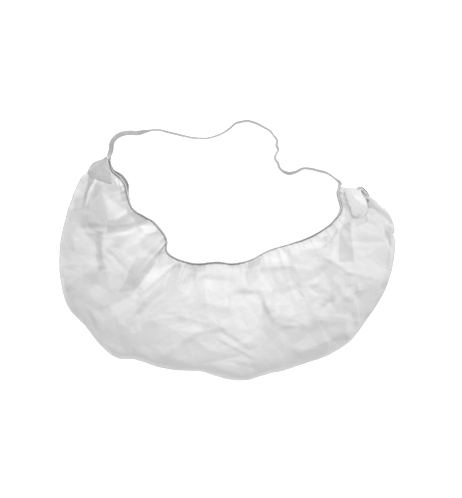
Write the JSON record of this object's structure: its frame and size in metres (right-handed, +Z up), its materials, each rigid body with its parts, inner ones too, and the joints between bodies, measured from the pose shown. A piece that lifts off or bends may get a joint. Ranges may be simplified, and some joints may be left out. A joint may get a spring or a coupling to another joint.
{
  "type": "disposable beard net",
  "caption": "Crescent pouch of thin nonwoven cloth, gathered on flat elastic along its open mouth, with one elastic head strand, lying loose.",
  "frame": {"origin": "on the surface that the net lies on, under the middle of the net's box without the head elastic", "axes": "+X from the left end to the right end, +Y from the hem towards the mouth and the head elastic, +Z up"},
  "size_m": [0.3004, 0.2321, 0.0357],
  "materials": {
    "nonwoven_cloth": "matt white spunbond nonwoven, thin enough to let light through",
    "knitted_elastic": "matt knitted flat elastic"
  },
  "bodies": {
    "root": {"pouch": "nonwoven_cloth", "left_end_tuck": "nonwoven_cloth", "right_end_tuck": "nonwoven_cloth", "front_mouth_elastic": "knitted_elastic", "back_mouth_elastic": "knitted_elastic", "head_elastic": "knitted_elastic"}
  },
  "joints": []
}
